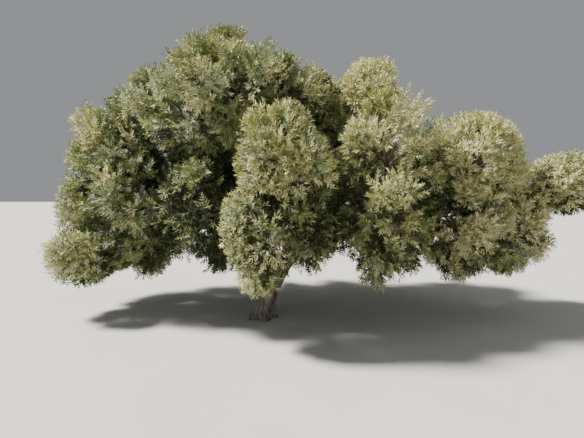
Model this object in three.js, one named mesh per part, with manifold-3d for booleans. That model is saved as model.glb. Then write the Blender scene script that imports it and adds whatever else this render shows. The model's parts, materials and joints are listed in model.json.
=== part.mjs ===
// An old olive tree with one leaning trunk, boughs that spread low and wide, and a crown of
// separate masses of leaves. Units are millimetres, +Z is up, and the origin is the middle of the
// flat cut under the trunk, at ground level.
import * as THREE from 'three';
import { mergeVertices } from 'three/addons/utils/BufferGeometryUtils.js';
import Module from 'manifold-3d';

// Clear space between two pieces that meet, and round a bough that passes a mass of leaves.
const meetingGap = 0.3;
const passingGap = 4;

const trunk = {
  height: 930,
  lean: [440, 30], // from the foot to the fork, along X and Y
  leanPower: 1.5, // the foot stands nearly upright and the fork leans most
  footRadius: 138,
  forkRadius: 84,
  crownShare: 0.62, // radius of the rounded top, as a share of the fork's
  flare: 0.5, // how much wider the roots make it at the ground
  flareHeight: 150,
  ribs: 5,
  ribDepth: 0.11,
  ribTwist: 1.1, // radians from foot to fork
  sides: 18,
  rings: 8,
  ringSpacing: 1.35 // a power that brings the rings closer near the foot
};

const bough = {
  tipRadius: 21,
  taperPower: 0.75,
  sideShare: 0.62, // radius of a side bough at its root, as a share of its parent's there
  follow: 0.55, // how far a bough first follows the limb that it leaves
  reachOut: 0.36, // length of that first stretch, as a share of the bough's
  reachIn: 0.3, // length of the stretch that rises into the leaves
  rise: 0.3, // how steeply it rises there
  sides: 8,
  steps: 6,
  sideSides: 6, // a side bough is slimmer, so it has fewer faces
  sideSteps: 4,
  firstFork: 0.3, // where the first and last side boughs leave a lobe's limb
  lastFork: 0.62,
  markSpacing: 60 // between the points along a limb that leaves keep clear of
};

const mass = {
  edgeGap: 3, // between the spaces of two neighbours, each side
  leastShare: 0.25, // of the way to a neighbour's middle that is a mass's own, even beside a large one
  groundGap: 60,
  coreShare: 0.75, // the dense middle, as a share of the way to the edge of the space
  coreRoughness: 0.12,
  coreLimit: 0.92, // where a neighbour stands close
  tipShare: 0.84, // where the bough ends
  tipLimit: 0.95,
  twigSpacing: 130, // a mass has one twig for so much of its mean reach
  twigReach: 0.78,
  twigSpread: 0.35, // how far seeded chance turns a twig
  stemShare: 0.3, // of the stem, from the middle of the mass, that twigs leave
  buriedShare: 0.5, // of a twig that the dense middle hides
  twigRootRadius: 11,
  twigTipRadius: 5,
  firstSeed: 1000
};

// A leaf stands for a spray of small ones, so it is larger than life.
const leaf = {
  lengthShare: 0.6, // of the mean reach of its mass
  shortestShare: 0.32,
  roomShare: 0.97, // the most that a leaf takes of the way to the edge of the space
  widestAt: 0.58,
  widthShare: 0.42,
  thicknessShare: 0.08,
  // Where each leaf of a twig grows on it, how far it leans away and its turn round the twig.
  places: [
    { at: 0.8, lean: 0.2, turn: 0 },
    { at: 0.6, lean: 0.9, turn: 90 },
    { at: 0.56, lean: 0.9, turn: 270 }
  ]
};

// Each lobe of the crown stands on one limb. from and at say which limb that one leaves and where,
// heart is the lobe's middle and reach its half sizes along X, Y and Z. A tier is a ring of masses:
// their number, the turn of the first in degrees from +X, how far out and how high their middles
// stand and how large they are, as shares of the reach. The limb ends at the first mass, and the
// others stand on side boughs.
const lobes = {
  top: {
    from: 'trunk', at: 0.9, rootRadius: 62,
    heart: [-560, 850, 3120], reach: [1780, 1600, 1400],
    tiers: [
      { count: 1, turn: 180, out: 0.03, rise: 0.36, size: 0.65 },
      { count: 4, turn: -5, out: 0.43, rise: 0.06, size: 0.69 }
    ]
  },
  right: {
    from: 'trunk', at: 0.92, rootRadius: 58,
    heart: [3370, 200, 1860], reach: [1130, 1100, 1290],
    tiers: [
      { count: 1, turn: 180, out: 0.1, rise: 0.31, size: 0.69 },
      { count: 2, turn: -150, out: 0.38, rise: -0.34, size: 0.69 }
    ]
  },
  front: {
    from: 'trunk', at: 0.84, rootRadius: 46,
    heart: [370, -1080, 1860], reach: [780, 800, 1290],
    tiers: [
      { count: 1, turn: 180, out: 0.03, rise: 0.23, size: 0.8 },
      { count: 1, turn: 205, out: 0.42, rise: -0.3, size: 0.62 },
      { count: 1, turn: 64, out: 1.05, rise: -0.2, size: 0.66 }
    ]
  },
  left: {
    from: 'top', at: 0.32, rootRadius: 43,
    heart: [-2200, 850, 1980], reach: [1160, 1400, 1600],
    tiers: [
      { count: 1, turn: 180, out: 0.17, rise: 0.29, size: 0.71 },
      { count: 3, turn: 180, out: 0.34, rise: -0.24, size: 0.68 }
    ]
  },
  low: {
    from: 'top', at: 0.2, rootRadius: 36,
    heart: [-480, 850, 1660], reach: [1300, 1650, 1260],
    tiers: [
      { count: 2, turn: -115, out: 0.46, rise: 0, size: 0.75 }
    ]
  },
  middle: {
    from: 'right', at: 0.18, rootRadius: 42,
    heart: [1900, -250, 2040], reach: [940, 1000, 1400],
    tiers: [
      { count: 1, turn: 180, out: 0.08, rise: 0.2, size: 0.84 },
      { count: 2, turn: -125, out: 0.42, rise: -0.31, size: 0.74 }
    ]
  },
  back: {
    from: 'right', at: 0.1, rootRadius: 44,
    heart: [1600, 1600, 2160], reach: [1600, 1150, 1500],
    tiers: [
      { count: 1, turn: 180, out: 0.2, rise: 0.46, size: 0.72 },
      { count: 2, turn: 15, out: 0.4, rise: -0.31, size: 0.7 }
    ]
  },
  knob: {
    from: 'middle', at: 0.55, rootRadius: 25,
    heart: [1650, 620, 3420], reach: [500, 780, 610],
    tiers: [{ count: 1, turn: 0, out: 0, rise: 0, size: 1 }]
  },
  end: {
    from: 'right', at: 0.66, rootRadius: 28,
    heart: [4780, 450, 2030], reach: [720, 640, 500],
    tiers: [{ count: 1, turn: 0, out: 0, rise: 0, size: 1 }]
  },
  skirt: {
    from: 'left', at: 0.42, rootRadius: 25,
    heart: [-2730, 60, 930], reach: [570, 620, 460],
    tiers: [{ count: 1, turn: 0, out: 0, rise: 0, size: 1 }]
  }
};

const barkColor = 0x5f564a;
const leafColor = 0x7d8560;
const shadeSpread = 0.2; // between the palest and the darkest mass

const goldenTurn = Math.PI * (3 - Math.sqrt(5));
const up = new THREE.Vector3(0, 0, 1);

const wasm = await Module();
wasm.setup();

// The same numbers between 0 and 1 come out of one seed each time.
function seededChance(seed) {
  let state = seed >>> 0;
  return () => {
    state = (state + 0x6d2b79f5) >>> 0;
    let mixed = Math.imul(state ^ (state >>> 15), state | 1);
    mixed ^= mixed + Math.imul(mixed ^ (mixed >>> 7), mixed | 61);
    return ((mixed ^ (mixed >>> 14)) >>> 0) / 4294967296;
  };
}

// A closed solid of a geometry whose shared vertices are merged.
function solidOf(geometry) {
  geometry.deleteAttribute('normal');
  geometry.deleteAttribute('uv');
  const merged = mergeVertices(geometry, 1e-3);
  return new wasm.Manifold(new wasm.Mesh({
    numProp: 3,
    vertProperties: new Float32Array(merged.getAttribute('position').array),
    triVerts: new Uint32Array(merged.index.array)
  }));
}

// The largest piece of a solid, without loose scraps or sealed hollows.
function largestPiece(solid) {
  const pieces = solid.decompose();
  return pieces.reduce((best, piece) => (piece.volume() > best.volume() ? piece : best));
}

function meshOf(solid, name, material) {
  const { vertProperties, triVerts } = solid.getMesh();
  const geometry = new THREE.BufferGeometry();
  geometry.setAttribute('position', new THREE.BufferAttribute(vertProperties, 3));
  geometry.setIndex(new THREE.BufferAttribute(triVerts, 1));
  const mesh = new THREE.Mesh(geometry, material);
  mesh.name = name;
  return mesh;
}

// A closed skin over rings of vertices, each ring given as a list of points.
function skinOver(rings) {
  const sides = rings[0].length;
  const faces = [];
  for (let ring = 0; ring + 1 < rings.length; ring++) {
    for (let side = 0; side < sides; side++) {
      const a = ring * sides + side;
      const b = ring * sides + (side + 1) % sides;
      faces.push(a, b, b + sides, a, b + sides, a + sides);
    }
  }
  const last = (rings.length - 1) * sides;
  for (let side = 1; side + 1 < sides; side++) {
    faces.push(0, side + 1, side);
    faces.push(last, last + side, last + side + 1);
  }
  const geometry = new THREE.BufferGeometry();
  geometry.setFromPoints(rings.flat());
  geometry.setIndex(faces);
  return geometry;
}

// A round rod along a curve, whose radius changes from its root to its tip.
function rodAlong(axis, radiusAt, sides, steps) {
  const frames = axis.computeFrenetFrames(steps);
  const rings = [];
  for (let step = 0; step <= steps; step++) {
    const middle = axis.getPointAt(step / steps);
    const radius = radiusAt(step / steps);
    const ring = [];
    for (let side = 0; side < sides; side++) {
      const angle = 2 * Math.PI * side / sides;
      ring.push(middle.clone()
        .addScaledVector(frames.normals[step], radius * Math.cos(angle))
        .addScaledVector(frames.binormals[step], radius * Math.sin(angle)));
    }
    rings.push(ring);
  }
  return solidOf(skinOver(rings));
}

class TrunkAxis extends THREE.Curve {
  getPoint(share, target = new THREE.Vector3()) {
    const leant = share ** trunk.leanPower;
    return target.set(trunk.lean[0] * leant, trunk.lean[1] * leant, trunk.height * share);
  }
}

function trunkRadius(share, angle) {
  const tapered = THREE.MathUtils.lerp(trunk.footRadius, trunk.forkRadius, share);
  const flared = 1 + trunk.flare * Math.exp(-share * trunk.height / trunk.flareHeight);
  const ribbed = 1 + trunk.ribDepth * flared * Math.cos(trunk.ribs * angle + trunk.ribTwist * share);
  return tapered * flared * ribbed;
}

const trunkLimb = { axis: new TrunkAxis(), radiusAt: (share) => trunkRadius(share, 0) };

// The trunk's rings are level, so its foot is a flat cut. Its top narrows to a blunt fork.
function trunkSolid(extra) {
  const rings = [];
  for (let step = 0; step <= trunk.rings; step++) {
    const share = (step / trunk.rings) ** trunk.ringSpacing;
    const middle = trunkLimb.axis.getPoint(share);
    const closing = step === trunk.rings ? trunk.crownShare : 1;
    const ring = [];
    for (let side = 0; side < trunk.sides; side++) {
      const angle = 2 * Math.PI * side / trunk.sides;
      const radius = trunkRadius(share, angle) * closing + extra;
      ring.push(new THREE.Vector3(
        middle.x + radius * Math.cos(angle),
        middle.y + radius * Math.sin(angle),
        middle.z + (step === trunk.rings ? extra : 0)
      ));
    }
    rings.push(ring);
  }
  return solidOf(skinOver(rings));
}

// The place and half sizes of each mass of leaves, lobe by lobe.
function layOutMasses() {
  const masses = [];
  for (const [lobeName, lobe] of Object.entries(lobes)) {
    const heart = new THREE.Vector3(...lobe.heart);
    const reach = new THREE.Vector3(...lobe.reach);
    let number = 0;
    for (const tier of lobe.tiers) {
      for (let index = 0; index < tier.count; index++) {
        const turn = THREE.MathUtils.degToRad(tier.turn + 360 * index / tier.count);
        const offset = new THREE.Vector3(
          tier.out * Math.cos(turn), tier.out * Math.sin(turn), tier.rise
        );
        number += 1;
        masses.push({
          lobe: lobeName,
          number,
          centre: heart.clone().add(offset.multiply(reach)),
          reach: reach.clone().multiplyScalar(tier.size)
        });
      }
    }
  }
  for (const own of masses) {
    own.walls = masses.filter((other) => other !== own).map((other) => wallBetween(own, other));
    own.walls.push({ outward: up.clone().negate(), distance: own.centre.z - mass.groundGap });
  }
  return masses;
}

function meanReach(own) {
  return (own.reach.x + own.reach.y + own.reach.z) / 3;
}

// How far the ellipsoid of a mass reaches along a direction from its centre.
function ellipsoidReach(own, direction) {
  return 1 / direction.clone().divide(own.reach).length();
}

// The plane that keeps a mass clear of a neighbour, midway between their surfaces.
function wallBetween(own, other) {
  const outward = other.centre.clone().sub(own.centre);
  const apart = outward.length();
  outward.divideScalar(apart);
  const ownReach = ellipsoidReach(own, outward);
  const otherReach = ellipsoidReach(other, outward);
  const nearest = mass.leastShare * apart;
  const between = THREE.MathUtils.clamp((apart + ownReach - otherReach) / 2, nearest, apart - nearest);
  return { outward, distance: between - mass.edgeGap };
}

// How far the space of a mass goes on from a point inside it.
function roomFrom(own, point, direction) {
  const scaledPoint = point.clone().sub(own.centre).divide(own.reach);
  const scaledWay = direction.clone().divide(own.reach);
  const a = scaledWay.lengthSq();
  const b = scaledPoint.dot(scaledWay);
  const c = scaledPoint.lengthSq() - 1;
  if (c >= 0) return 0;
  let room = (-b + Math.sqrt(b * b - a * c)) / a;
  const offset = point.clone().sub(own.centre);
  for (const wall of own.walls) {
    const left = wall.distance - offset.dot(wall.outward);
    const speed = direction.dot(wall.outward);
    if (left <= 0) return 0;
    if (speed > 0) room = Math.min(room, left / speed);
  }
  return room;
}

function staysInside(own, points) {
  return points.every((point) => {
    const offset = point.clone().sub(own.centre);
    return offset.clone().divide(own.reach).lengthSq() < 1
      && own.walls.every((wall) => offset.dot(wall.outward) < wall.distance);
  });
}

// The bough's tip lies on the way from its root to the mass, a little below it.
function entryOf(own, root) {
  const inward = own.centre.clone().sub(root).normalize().addScaledVector(up, bough.rise).normalize();
  const back = inward.clone().negate();
  const distance = Math.min(
    mass.tipShare * ellipsoidReach(own, back),
    mass.tipLimit * roomFrom(own, own.centre, back)
  );
  return { inward, tip: own.centre.clone().addScaledVector(back, distance) };
}

// One tapering limb from a place on its parent's axis to the mass that it carries.
function layOutBough(own, parent, at, rootRadius) {
  const root = parent.axis.getPointAt(at);
  const { inward, tip } = entryOf(own, root);
  const span = root.distanceTo(tip);
  const straight = tip.clone().sub(root).normalize();
  const along = parent.axis.getTangentAt(at);
  const follow = bough.follow * Math.max(0, along.dot(straight));
  const leaving = straight.clone().lerp(along, follow).normalize();
  const axis = new THREE.CubicBezierCurve3(
    root,
    root.clone().addScaledVector(leaving, span * bough.reachOut),
    tip.clone().addScaledVector(inward, -span * bough.reachIn),
    tip
  );
  const radiusAt = (share) => THREE.MathUtils.lerp(rootRadius, bough.tipRadius, share ** bough.taperPower);
  const main = own.number === 1;
  return {
    name: `bough_${own.lobe}_${own.number}`,
    axis,
    radiusAt,
    inward,
    sides: main ? bough.sides : bough.sideSides,
    steps: main ? bough.steps : bough.sideSteps
  };
}

function layOutBoughs(masses) {
  const mainLimbs = { trunk: trunkLimb };
  const boughs = new Map();
  for (const [lobeName, lobe] of Object.entries(lobes)) {
    const [first, ...others] = masses.filter((own) => own.lobe === lobeName);
    const main = layOutBough(first, mainLimbs[lobe.from], lobe.at, lobe.rootRadius);
    mainLimbs[lobeName] = main;
    boughs.set(first, main);
    const way = main.axis.getPoint(1).sub(main.axis.getPoint(0));
    const nearestFirst = others.toSorted((a, b) => a.centre.dot(way) - b.centre.dot(way));
    nearestFirst.forEach((own, index) => {
      const step = others.length > 1 ? index / (others.length - 1) : 0;
      const at = THREE.MathUtils.lerp(bough.firstFork, bough.lastFork, step);
      boughs.set(own, layOutBough(own, main, at, main.radiusAt(at) * bough.sideShare));
    });
  }
  return boughs;
}

function boughSolid(limb, extra) {
  return rodAlong(limb.axis, (share) => limb.radiusAt(share) + extra, limb.sides, limb.steps);
}

// Points along the limbs, with the radius that wood takes up round each.
function woodMarks(limbs) {
  const marks = [];
  for (const limb of limbs) {
    const count = Math.ceil(limb.axis.getLength() / bough.markSpacing);
    for (let index = 0; index <= count; index++) {
      const share = index / count;
      marks.push({ point: limb.axis.getPointAt(share), radius: limb.radiusAt(share) });
    }
  }
  return marks;
}

// Whether a slim piece between two points comes near the wood.
function touchesWood(marks, from, to, halfWidth) {
  const line = new THREE.Line3(from, to);
  const nearest = new THREE.Vector3();
  return marks.some(({ point, radius }) => {
    line.closestPointToPoint(point, true, nearest);
    return nearest.distanceTo(point) < radius + halfWidth + passingGap;
  });
}

// The dense middle of a mass: a lumpy ball that keeps inside the space.
function coreSolid(own, chance) {
  const ball = new THREE.IcosahedronGeometry(1, 1);
  ball.deleteAttribute('normal');
  ball.deleteAttribute('uv');
  const geometry = mergeVertices(ball, 1e-3);
  const position = geometry.getAttribute('position');
  const direction = new THREE.Vector3();
  for (let index = 0; index < position.count; index++) {
    direction.fromBufferAttribute(position, index).normalize();
    const rough = 1 + mass.coreRoughness * (2 * chance() - 1);
    const distance = Math.min(
      mass.coreShare * rough * ellipsoidReach(own, direction),
      mass.coreLimit * roomFrom(own, own.centre, direction)
    );
    const vertex = own.centre.clone().addScaledVector(direction, distance);
    position.setXYZ(index, vertex.x, vertex.y, vertex.z);
  }
  return solidOf(geometry);
}

function straightRod(from, to, rootRadius, tipRadius, sides) {
  const axis = new THREE.LineCurve3(from, to);
  return rodAlong(axis, (share) => THREE.MathUtils.lerp(rootRadius, tipRadius, share), sides, 1);
}

// A leaf of eight faces that points along a direction, with its blade facing another.
function leafShape(root, direction, facing, length) {
  const width = length * leaf.widthShare;
  const across = new THREE.Vector3().crossVectors(facing, direction).normalize();
  const normal = new THREE.Vector3().crossVectors(direction, across);
  const geometry = new THREE.OctahedronGeometry(1);
  const position = geometry.getAttribute('position');
  for (let index = 0; index < position.count; index++) {
    const along = position.getX(index);
    position.setX(index, leaf.widestAt + along * (along > 0 ? 1 - leaf.widestAt : leaf.widestAt));
  }
  geometry.scale(length, width / 2, length * leaf.thicknessShare / 2);
  geometry.applyMatrix4(new THREE.Matrix4().makeBasis(direction, across, normal));
  geometry.translate(root.x, root.y, root.z);
  return { geometry, width };
}

// The solid of a leaf where the mass has room for it, and nothing where it hasn't.
function leafWithRoom(own, marks, root, direction, facing) {
  const size = meanReach(own);
  const length = Math.min(leaf.lengthShare * size, leaf.roomShare * roomFrom(own, root, direction));
  if (length < leaf.shortestShare * size) return [];
  const { geometry, width } = leafShape(root, direction, facing, length);
  const corners = [];
  const position = geometry.getAttribute('position');
  for (let index = 0; index < position.count; index++) {
    corners.push(new THREE.Vector3().fromBufferAttribute(position, index));
  }
  const tip = root.clone().addScaledVector(direction, length);
  if (!staysInside(own, corners) || touchesWood(marks, root, tip, width / 2)) return [];
  return [solidOf(geometry)];
}

// The seeded rule: twigs leave the stem in the turns of a golden spiral, and each has a leaf near its
// end and one on either side. A twig or leaf that would touch the wood or leave the space is skipped.
function growMass(own, limb, marks, seed) {
  const chance = seededChance(seed);
  const stemRoot = limb.axis.getPointAt(1).addScaledVector(limb.inward, meetingGap);
  const pieces = [
    coreSolid(own, chance),
    straightRod(stemRoot, own.centre, bough.tipRadius, bough.tipRadius, limb.sides)
  ];
  const twigs = Math.round(meanReach(own) / mass.twigSpacing);
  for (let index = 0; index < twigs; index++) {
    const level = 1 - 2 * index / (twigs - 1);
    const turn = goldenTurn * index + 2 * Math.PI * chance();
    const flat = Math.sqrt(1 - level * level);
    const direction = new THREE.Vector3(flat * Math.cos(turn), flat * Math.sin(turn), level);
    direction.x += mass.twigSpread * (chance() - 0.5);
    direction.y += mass.twigSpread * (chance() - 0.5);
    direction.z += mass.twigSpread * (chance() - 0.5);
    direction.normalize();
    const start = own.centre.clone().lerp(stemRoot, mass.stemShare * chance());
    const length = mass.twigReach * roomFrom(own, start, direction);
    const end = start.clone().addScaledVector(direction, length);
    const side = new THREE.Vector3().crossVectors(direction, up).normalize()
      .applyAxisAngle(direction, 2 * Math.PI * chance());
    const coreEdge = start.clone().addScaledVector(direction, mass.buriedShare * length);
    if (touchesWood(marks, coreEdge, end, mass.twigRootRadius)) continue;
    const leaves = leaf.places.flatMap(({ at, lean, turn }) => {
      const leafRoot = start.clone().addScaledVector(direction, at * length);
      const away = side.clone().applyAxisAngle(direction, THREE.MathUtils.degToRad(turn));
      const leafWay = direction.clone().addScaledVector(away, lean).normalize();
      return leafWithRoom(own, marks, leafRoot, leafWay, direction);
    });
    if (leaves.length === 0) continue;
    pieces.push(straightRod(start, end, mass.twigRootRadius, mass.twigTipRadius, 3), ...leaves);
  }
  return wasm.Manifold.union(pieces);
}

function bark() {
  return new THREE.MeshStandardMaterial({ color: barkColor, roughness: 0.95, metalness: 0 });
}

function foliage(shade) {
  const color = new THREE.Color(leafColor).multiplyScalar(shade);
  return new THREE.MeshStandardMaterial({ color, roughness: 0.75, metalness: 0 });
}

// A bough's root is cut to fit the limbs that were there before it.
function buildWood(boughs) {
  const wood = new THREE.Group();
  wood.add(meshOf(trunkSolid(0), 'trunk', bark()));
  const earlier = [trunkSolid(meetingGap)];
  for (const limb of boughs.values()) {
    const solid = largestPiece(boughSolid(limb, 0).subtract(wasm.Manifold.union(earlier)));
    wood.add(meshOf(solid, limb.name, bark()));
    earlier.push(boughSolid(limb, meetingGap));
  }
  return wood;
}

function buildCrown(masses, boughs) {
  const crown = new THREE.Group();
  const marks = woodMarks([trunkLimb, ...boughs.values()]);
  masses.forEach((own, index) => {
    const limb = boughs.get(own);
    const passing = [...boughs.values()].filter((other) => other !== limb)
      .map((other) => boughSolid(other, passingGap));
    const grown = growMass(own, limb, marks, mass.firstSeed + index)
      .subtract(wasm.Manifold.union(passing))
      .subtract(boughSolid(limb, meetingGap))
      .subtract(trunkSolid(passingGap));
    const shade = 1 + shadeSpread * (seededChance(index)() - 0.5);
    crown.add(meshOf(largestPiece(grown), `leaves_${own.lobe}_${own.number}`, foliage(shade)));
  });
  return crown;
}

const masses = layOutMasses();
const boughs = layOutBoughs(masses);
const tree = new THREE.Group();
tree.add(buildWood(boughs), buildCrown(masses, boughs));

export default tree;
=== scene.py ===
import json
import math

import bmesh
import bpy
import numpy as np
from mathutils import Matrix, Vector, noise

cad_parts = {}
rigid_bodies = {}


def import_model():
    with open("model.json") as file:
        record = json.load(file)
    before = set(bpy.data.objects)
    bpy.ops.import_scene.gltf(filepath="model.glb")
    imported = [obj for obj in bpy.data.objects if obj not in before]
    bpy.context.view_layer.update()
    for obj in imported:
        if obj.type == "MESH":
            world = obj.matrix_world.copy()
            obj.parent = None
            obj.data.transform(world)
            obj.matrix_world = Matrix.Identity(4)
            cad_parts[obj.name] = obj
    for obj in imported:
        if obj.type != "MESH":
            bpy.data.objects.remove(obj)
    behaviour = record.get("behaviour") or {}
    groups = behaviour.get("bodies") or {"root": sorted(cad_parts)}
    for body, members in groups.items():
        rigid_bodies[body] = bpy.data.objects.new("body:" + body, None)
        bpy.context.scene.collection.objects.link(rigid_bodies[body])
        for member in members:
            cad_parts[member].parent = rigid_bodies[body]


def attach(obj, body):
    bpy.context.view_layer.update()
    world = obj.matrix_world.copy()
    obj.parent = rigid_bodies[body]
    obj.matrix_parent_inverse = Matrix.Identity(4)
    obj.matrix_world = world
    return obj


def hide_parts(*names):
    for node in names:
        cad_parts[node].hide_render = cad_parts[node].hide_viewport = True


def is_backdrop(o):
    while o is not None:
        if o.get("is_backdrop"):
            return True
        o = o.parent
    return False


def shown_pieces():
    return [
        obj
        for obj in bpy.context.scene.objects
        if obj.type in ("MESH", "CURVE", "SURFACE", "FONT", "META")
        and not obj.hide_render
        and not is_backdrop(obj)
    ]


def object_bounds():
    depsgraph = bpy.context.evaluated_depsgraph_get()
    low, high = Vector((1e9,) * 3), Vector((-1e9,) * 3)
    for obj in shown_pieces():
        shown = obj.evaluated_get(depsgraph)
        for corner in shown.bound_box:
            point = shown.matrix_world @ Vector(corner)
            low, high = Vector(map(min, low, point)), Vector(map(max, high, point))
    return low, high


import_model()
cadLow, cadHigh = [np.array(corner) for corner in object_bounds()]

# An old olive tree: a leaning trunk, boughs that fork low and masses of small grey-green leaves.
# Metres, +Z up, the origin in the middle of the trunk's foot.

goldenTurn = math.pi * (3 - math.sqrt(5))
up = np.array([0.0, 0.0, 1.0])


def unit(vectors):
    return vectors / np.maximum(np.linalg.norm(vectors, axis=-1, keepdims=True), 1e-9)


def lerp(low, high, share):
    return low + (high - low) * share


def seededChance(seed):
    # the same draws between 0 and 1 as the solids were grown with
    word = 0xFFFFFFFF
    state = seed & word

    def chance():
        nonlocal state
        state = (state + 0x6D2B79F5) & word
        mixed = ((state ^ state >> 15) * (state | 1)) & word
        mixed ^= (mixed + ((mixed ^ mixed >> 7) * (mixed | 61) & word)) & word
        return ((mixed ^ mixed >> 14) & word) / (word + 1)

    return chance


class Limb:
    # a tapering limb: points evenly spaced along its axis, and its radius at each share of its length

    def __init__(self, name, curve, radiusAt, steps=200):
        raw = np.array([curve(step / steps) for step in range(steps + 1)])
        run = np.concatenate([[0], np.cumsum(np.linalg.norm(np.diff(raw, axis=0), axis=1))])
        self.name = name
        self.length = run[-1]
        self.shares = np.linspace(0, 1, steps + 1)
        even = [np.interp(self.shares * self.length, run, row) for row in raw.T]
        self.points = np.stack(even, axis=1)
        self.ways = unit(np.gradient(self.points, axis=0))
        self.radiusAt = radiusAt

    def pointAt(self, share):
        return np.array([np.interp(share, self.shares, row) for row in self.points.T])

    def wayAt(self, share):
        return unit(np.array([np.interp(share, self.shares, row) for row in self.ways.T]))


# Where everything stands, as in the solids

trunk = {
    "height": 0.93,
    "lean": (0.44, 0.03),  # from the foot to the fork, along X and Y
    "leanPower": 1.5,
    "footRadius": 0.138,
    "forkRadius": 0.084,
    "flare": 0.5,  # how much wider the roots make it at the ground
    "flareHeight": 0.15,
    "ribs": 5,
    "ribDepth": 0.11,
    "ribTwist": 1.1,  # radians from foot to fork
    "buried": 0.03,  # below the ground, cut away at the end
}

bough = {
    "tipRadius": 0.021,
    "taperPower": 0.75,
    "sideShare": 0.62,  # radius of a side bough at its root, as a share of its parent's there
    "follow": 0.55,  # how far a bough first follows the limb that it leaves
    "reachOut": 0.36,  # the handles of its curve, as shares of its span
    "reachIn": 0.3,
    "rise": 0.3,  # how much it turns up into its mass
    "firstFork": 0.3,
    "lastFork": 0.62,
    "collar": 0.45,  # how much thicker a bough is where it leaves its limb
    "collarLength": 0.09,
    "markSpacing": 0.06,  # between the places where twigs are kept off the wood
}

mass = {
    "edgeGap": 0.003,  # from the wall between two masses
    "leastShare": 0.25,  # the least part of the way to another mass that is its own
    "groundGap": 0.06,
    "tipShare": 0.84,  # where a bough ends, as a share of the reach from the middle
    "tipLimit": 0.95,  # and at most this share of the room there
    "coreVertices": 42,  # each takes one draw before the twigs are drawn
    "firstSeed": 1000,
    "stemSunk": 0.02,  # how far the stem starts inside its bough's tip
    "stemSides": 6,
    "stemSteps": 3,
}

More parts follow.
